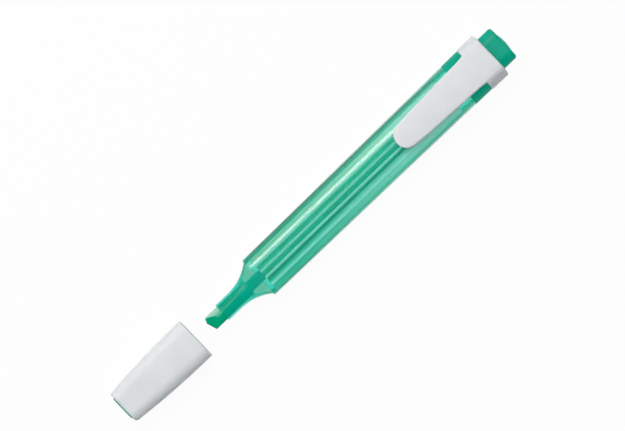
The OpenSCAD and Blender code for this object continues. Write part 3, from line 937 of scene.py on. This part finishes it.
def cap_wall_at(x):
    """The wall thins to a lip at the mouth, to go over the foot of the flare."""
    return lip_wall + (cap_wall - lip_wall) * min((cap_high.x - x) / lip_len, 1)


def cap_ring(x, wall=0.0):
    """A section of the cap's outside, or of its inside when a wall is given."""
    half_w, half_d, corner = cap_size(x)
    return ring(x, half_w - wall, half_d - wall, corner - wall)


cap_inner_x = cap_low.x + cap_end_wall
side_x, side_len = cap_low.x + cap_round, cap_len - cap_round - rim_edge
out_steps = [side_x + side_len * step / 24 for step in range(1, 24)]
lip_x = cap_high.x - lip_len
in_steps = [cap_high.x, cap_high.x - lip_len / 2]
in_steps += [lip_x + (cap_inner_x - lip_x) * step / 14 for step in range(15)]
cap_rings = [ring(x, insert_hw + insert_gap, insert_hd + insert_gap, insert_corner + insert_gap)
             for x in (insert_high.x + insert_gap, cap_low.x)]
cap_rings += soft_edge(cap_low.x, *cap_size(cap_low.x + cap_round), cap_round, 1, steps=6)
cap_rings += [cap_ring(x) for x in out_steps]
cap_rings += soft_edge(cap_high.x, *cap_size(cap_high.x), rim_edge, -1)[::-1]
cap_rings += [cap_ring(x, cap_wall_at(x)) for x in in_steps]
cap_rings += [round_ring(cap_inner_x, seal_r), round_ring(cap_inner_x - seal_sink, seal_r)]
cap = skin("cap_skin", cap_rings)
dress(cap, off_white, "cap", "off_white", "cap_shell")

# %% [markdown]
# ## The green plate in the cap
# Only its edge shows from above, as a thin green line across the end of the cap. It is pressed
# into the recess and stands a little proud, with a rounded outer edge.

# %% Skin of the plate
plate_edge, plate_back_edge = 0.2 * MM, 0.1 * MM
plate_rings = soft_edge(insert_low.x, insert_hw, insert_hd, insert_corner, plate_edge, 1)
plate_rings += soft_edge(insert_high.x, insert_hw, insert_hd, insert_corner,
                         plate_back_edge, -1)[::-1]
plate = skin("cap_plate", plate_rings)
dress(plate, solid_green, "cap", "solid_green", "cap_end_insert")

# %% [markdown]
# ## Table, light and camera
# The photograph is a catalogue picture on pure white, taken from straight above under soft light.
# A white picture could be had by pouring light on the table, but that would wash out the pen. So
# the table glows only for rays that come from the camera or by way of gloss and clear plastic,
# and an ordinary matt white is mixed in, which keeps a trace of shadow.

# %% The table
table_half = 1.5
paper_grey = 0.85
glow_share = 0.95
bm = bmesh.new()
ways = ((-1, -1), (1, -1), (1, 1), (-1, 1))
bm.faces.new([bm.verts.new((x * table_half, y * table_half, 0)) for x, y in ways])
table = add_piece("table", bm)


def seen_rays(tree):
    """1 for rays from the camera or by way of gloss or clear plastic, 0 for bounced light."""
    path = tree.nodes.new("ShaderNodeLightPath")
    total = path.outputs["Is Camera Ray"]
    for kind in ("Is Glossy Ray", "Is Transmission Ray"):
        larger = tree.nodes.new("ShaderNodeMath")
        larger.operation = "MAXIMUM"
        tree.links.new(total, larger.inputs[0])
        tree.links.new(path.outputs[kind], larger.inputs[1])
        total = larger.outputs["Value"]
    return total


paper = bpy.data.materials.new("white_paper")
paper.use_nodes = True
tree = paper.node_tree
tree.nodes.remove(tree.nodes["Principled BSDF"])
matt = tree.nodes.new("ShaderNodeBsdfDiffuse")
matt.inputs["Color"].default_value = (paper_grey, paper_grey, paper_grey, 1)
glow = tree.nodes.new("ShaderNodeEmission")
glow.inputs["Strength"].default_value = 1.0
mix = tree.nodes.new("ShaderNodeMixShader")
tree.links.new(between(tree, seen_rays(tree), 0, glow_share, 0, 1), mix.inputs["Fac"])
tree.links.new(matt.outputs["BSDF"], mix.inputs[1])
tree.links.new(glow.outputs["Emission"], mix.inputs[2])
tree.links.new(mix.outputs["Shader"], tree.nodes["Material Output"].inputs["Surface"])
table.data.materials.append(paper)
print(f"table: {2 * table_half:.0f} m square")

# %% [markdown]
# The light is a long soft box on the far side of the pen, a little off the vertical, in a pale
# room that is darker overhead. The box lights every surface and is mirrored in none. Two strips
# of the same length, warm in colour, are only mirrored: in the rounded edge of the barrel they
# make the cream streak that runs along the whole body in the photograph.

# %% Room and soft boxes
wall_level, overhead_level = 0.42, 0.05
warm = (1.0, 0.76, 0.70)
middle = Vector((1.66 * MM, 2.16 * MM, axis_z))

scene = bpy.context.scene
scene.view_settings.view_transform = "Standard"
room = bpy.data.worlds.new("pale_room")
room.use_nodes = True
tree = room.node_tree
sky = tree.nodes["Background"]
sky.inputs["Color"].default_value = (0.97, 0.985, 1.0, 1)
direction = tree.nodes.new("ShaderNodeTexCoord")
parts = tree.nodes.new("ShaderNodeSeparateXYZ")
tree.links.new(direction.outputs["Generated"], parts.inputs["Vector"])
level = between(tree, parts.outputs["Z"], wall_level, overhead_level, 0.35, 0.85)
tree.links.new(level, sky.inputs["Strength"])
scene.world = room


def soft_box(name, place, size_x, size_y, power, mirrored, colour=(1, 1, 1)):
    """A rectangular lamp that faces the pen: one that is only mirrored, or one that only lights."""
    lamp = bpy.data.lights.new(name, "AREA")
    lamp.shape, lamp.size, lamp.size_y, lamp.energy = "RECTANGLE", size_x, size_y, power
    lamp.color = colour
    holder = bpy.data.objects.new(name, lamp)
    holder.location = middle + Vector(place)
    holder.rotation_euler = (-Vector(place)).to_track_quat("-Z", "Y").to_euler()
    holder.visible_transmission = False
    holder.visible_diffuse, holder.visible_glossy = not mirrored, mirrored
    bpy.context.collection.objects.link(holder)
    print(f"{name}: {size_x} by {size_y} m, {power} W")


soft_box("key_box", (0.0, 0.25, 0.625), 0.9, 0.42, 4.6, False)
soft_box("streak_strip", (0.0, 0.265, 0.615), 0.9, 0.28, 15, True, warm)
soft_box("side_strip", (0.0, 0.55, 0.38), 0.9, 0.4, 5, True, warm)

# %% [markdown]
# The camera stands above the pen and a little to its near side, with the frame turned so that the
# pen lies along the picture's rising diagonal. A long lens keeps the sides of the pen nearly
# parallel, as they are in the photograph.

# %% The camera
frame_wide = 179.4 * MM
camera_far = 2000 * MM
pen_rise = math.radians(43.9)
tilt = math.radians(1.2)
sensor_wide = 36

lens = bpy.data.cameras.new("view")
lens.sensor_fit, lens.sensor_width = "HORIZONTAL", sensor_wide
lens.lens = sensor_wide * camera_far / frame_wide
camera = bpy.data.objects.new("view", lens)
towards_camera = Vector((0, -math.sin(tilt), math.cos(tilt)))
roll_right = Vector((math.cos(pen_rise), -math.sin(pen_rise), 0))
right = (roll_right - towards_camera * roll_right.dot(towards_camera)).normalized()
up = towards_camera.cross(right)
camera.matrix_world = Matrix((
    (right.x, up.x, towards_camera.x, middle.x + towards_camera.x * camera_far),
    (right.y, up.y, towards_camera.y, middle.y + towards_camera.y * camera_far),
    (right.z, up.z, towards_camera.z, middle.z + towards_camera.z * camera_far),
    (0, 0, 0, 1)))
bpy.context.collection.objects.link(camera)
scene.camera = camera
print(f"camera: {lens.lens:.1f} mm lens, {camera_far:.2f} m away")
